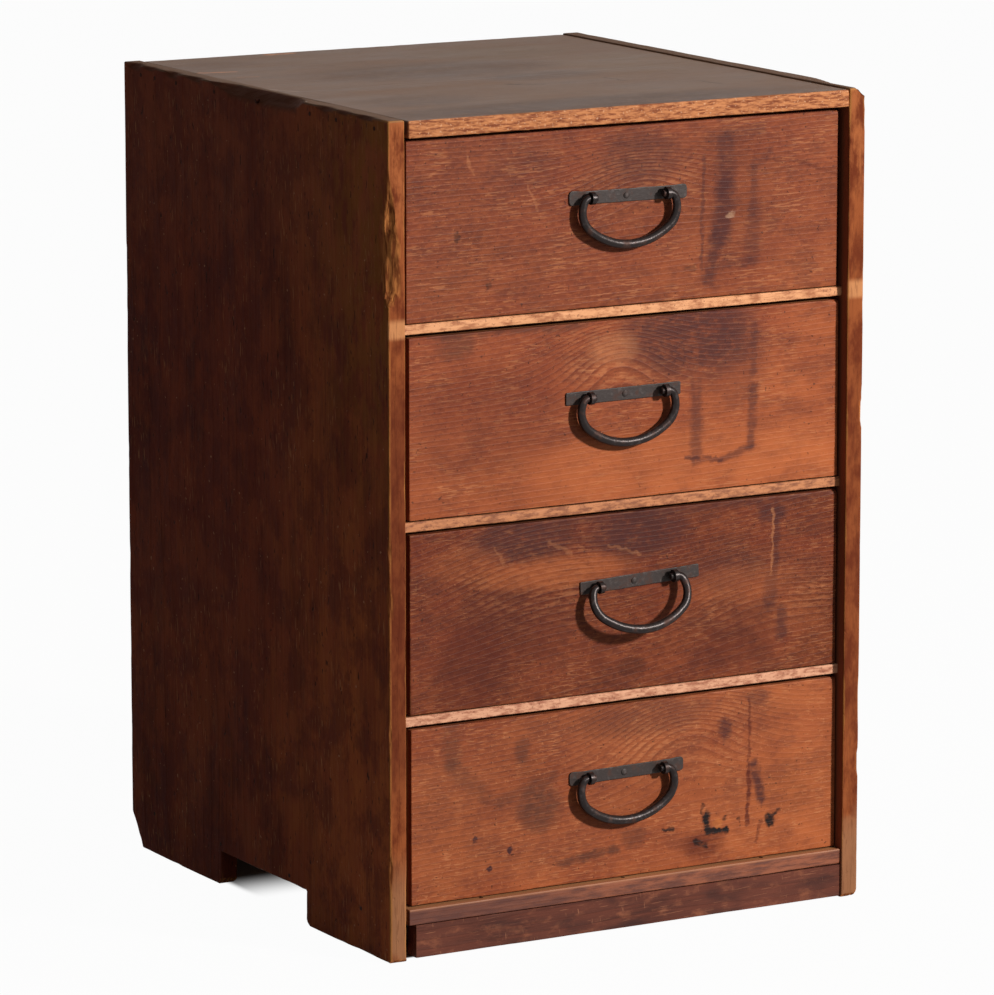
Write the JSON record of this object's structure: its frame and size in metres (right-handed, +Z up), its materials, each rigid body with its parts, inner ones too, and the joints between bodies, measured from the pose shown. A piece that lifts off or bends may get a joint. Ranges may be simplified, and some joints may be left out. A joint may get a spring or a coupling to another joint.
{
  "type": "tansu chest",
  "caption": "Small upright chest of plain wooden boards with stacked drawers on sliding shelves, each drawer with a hanging iron loop handle.",
  "frame": {"origin": "on the floor, under the middle of the whole chest with its handles", "axes": "+Z up, +X to the right along the front, +Y from the front to the back"},
  "size_m": [0.36, 0.3866, 0.55],
  "materials": {
    "side_wood": "very dark brown stain, worn and scuffed",
    "top_wood": "greyish brown, dry and scuffed",
    "front_wood": "orange-brown stained softwood with open grain",
    "edge_wood": "raw worn softwood edge",
    "inner_wood": "unfinished softwood",
    "peg_wood": "darkened end grain",
    "iron": "dark hand-forged iron, slightly worn"
  },
  "bodies": {
    "carcass": {"side_panel_left": "side_wood", "side_panel_right": "side_wood", "top_board": "top_wood", "bottom_board": "edge_wood", "plinth_board": "side_wood", "shelf_1": "edge_wood", "shelf_2": "edge_wood", "shelf_3": "edge_wood", "back_board_upper": "inner_wood", "back_board_middle": "inner_wood", "back_board_lower": "inner_wood", "carcass_pegs": "peg_wood", "back_pegs": "peg_wood", "plinth_pegs": "peg_wood"},
    "drawer_1": {"drawer_1_front": "front_wood", "drawer_1_side_left": "inner_wood", "drawer_1_side_right": "inner_wood", "drawer_1_back": "inner_wood", "drawer_1_bottom": "inner_wood", "drawer_1_pegs": "peg_wood", "handle_1_plate": "iron", "handle_1_eye_left": "iron", "handle_1_eye_right": "iron", "handle_1_nail": "iron"},
    "bail_1": {"handle_1_bail": "iron"},
    "drawer_2": {"drawer_2_front": "front_wood", "drawer_2_side_left": "inner_wood", "drawer_2_side_right": "inner_wood", "drawer_2_back": "inner_wood", "drawer_2_bottom": "inner_wood", "drawer_2_pegs": "peg_wood", "handle_2_plate": "iron", "handle_2_eye_left": "iron", "handle_2_eye_right": "iron", "handle_2_nail": "iron"},
    "bail_2": {"handle_2_bail": "iron"},
    "drawer_3": {"drawer_3_front": "front_wood", "drawer_3_side_left": "inner_wood", "drawer_3_side_right": "inner_wood", "drawer_3_back": "inner_wood", "drawer_3_bottom": "inner_wood", "drawer_3_pegs": "peg_wood", "handle_3_plate": "iron", "handle_3_eye_left": "iron", "handle_3_eye_right": "iron", "handle_3_nail": "iron"},
    "bail_3": {"handle_3_bail": "iron"},
    "drawer_4": {"drawer_4_front": "front_wood", "drawer_4_side_left": "inner_wood", "drawer_4_side_right": "inner_wood", "drawer_4_back": "inner_wood", "drawer_4_bottom": "inner_wood", "drawer_4_pegs": "peg_wood", "handle_4_plate": "iron", "handle_4_eye_left": "iron", "handle_4_eye_right": "iron", "handle_4_nail": "iron"},
    "bail_4": {"handle_4_bail": "iron"}
  },
  "joints": [
    {"name": "drawer_1_slide", "type": "slide", "parent": "carcass", "child": "drawer_1", "axis": [0, -1, 0], "range_m": [0, 0.3]},
    {"name": "drawer_2_slide", "type": "slide", "parent": "carcass", "child": "drawer_2", "axis": [0, -1, 0], "range_m": [0, 0.3]},
    {"name": "drawer_3_slide", "type": "slide", "parent": "carcass", "child": "drawer_3", "axis": [0, -1, 0], "range_m": [0, 0.3]},
    {"name": "drawer_4_slide", "type": "slide", "parent": "carcass", "child": "drawer_4", "axis": [0, -1, 0], "range_m": [0, 0.3]},
    {"name": "bail_1_hinge", "type": "hinge", "parent": "drawer_1", "child": "bail_1", "pos_m": [0.0005, -0.17881, 0.4897], "axis": [-1, 0, 0.007], "range_deg": [-2, 182]},
    {"name": "bail_2_hinge", "type": "hinge", "parent": "drawer_2", "child": "bail_2", "pos_m": [0, -0.17881, 0.3592], "axis": [-1, 0, -0.007], "range_deg": [-2, 182]},
    {"name": "bail_3_hinge", "type": "hinge", "parent": "drawer_3", "child": "bail_3", "pos_m": [0.0075, -0.17881, 0.234], "axis": [-0.9992, 0, -0.0401], "range_deg": [-22, 162]},
    {"name": "bail_4_hinge", "type": "hinge", "parent": "drawer_4", "child": "bail_4", "pos_m": [0.0005, -0.17881, 0.1058], "axis": [-0.9999, 0, -0.0122], "range_deg": [-2, 182]}
  ]
}
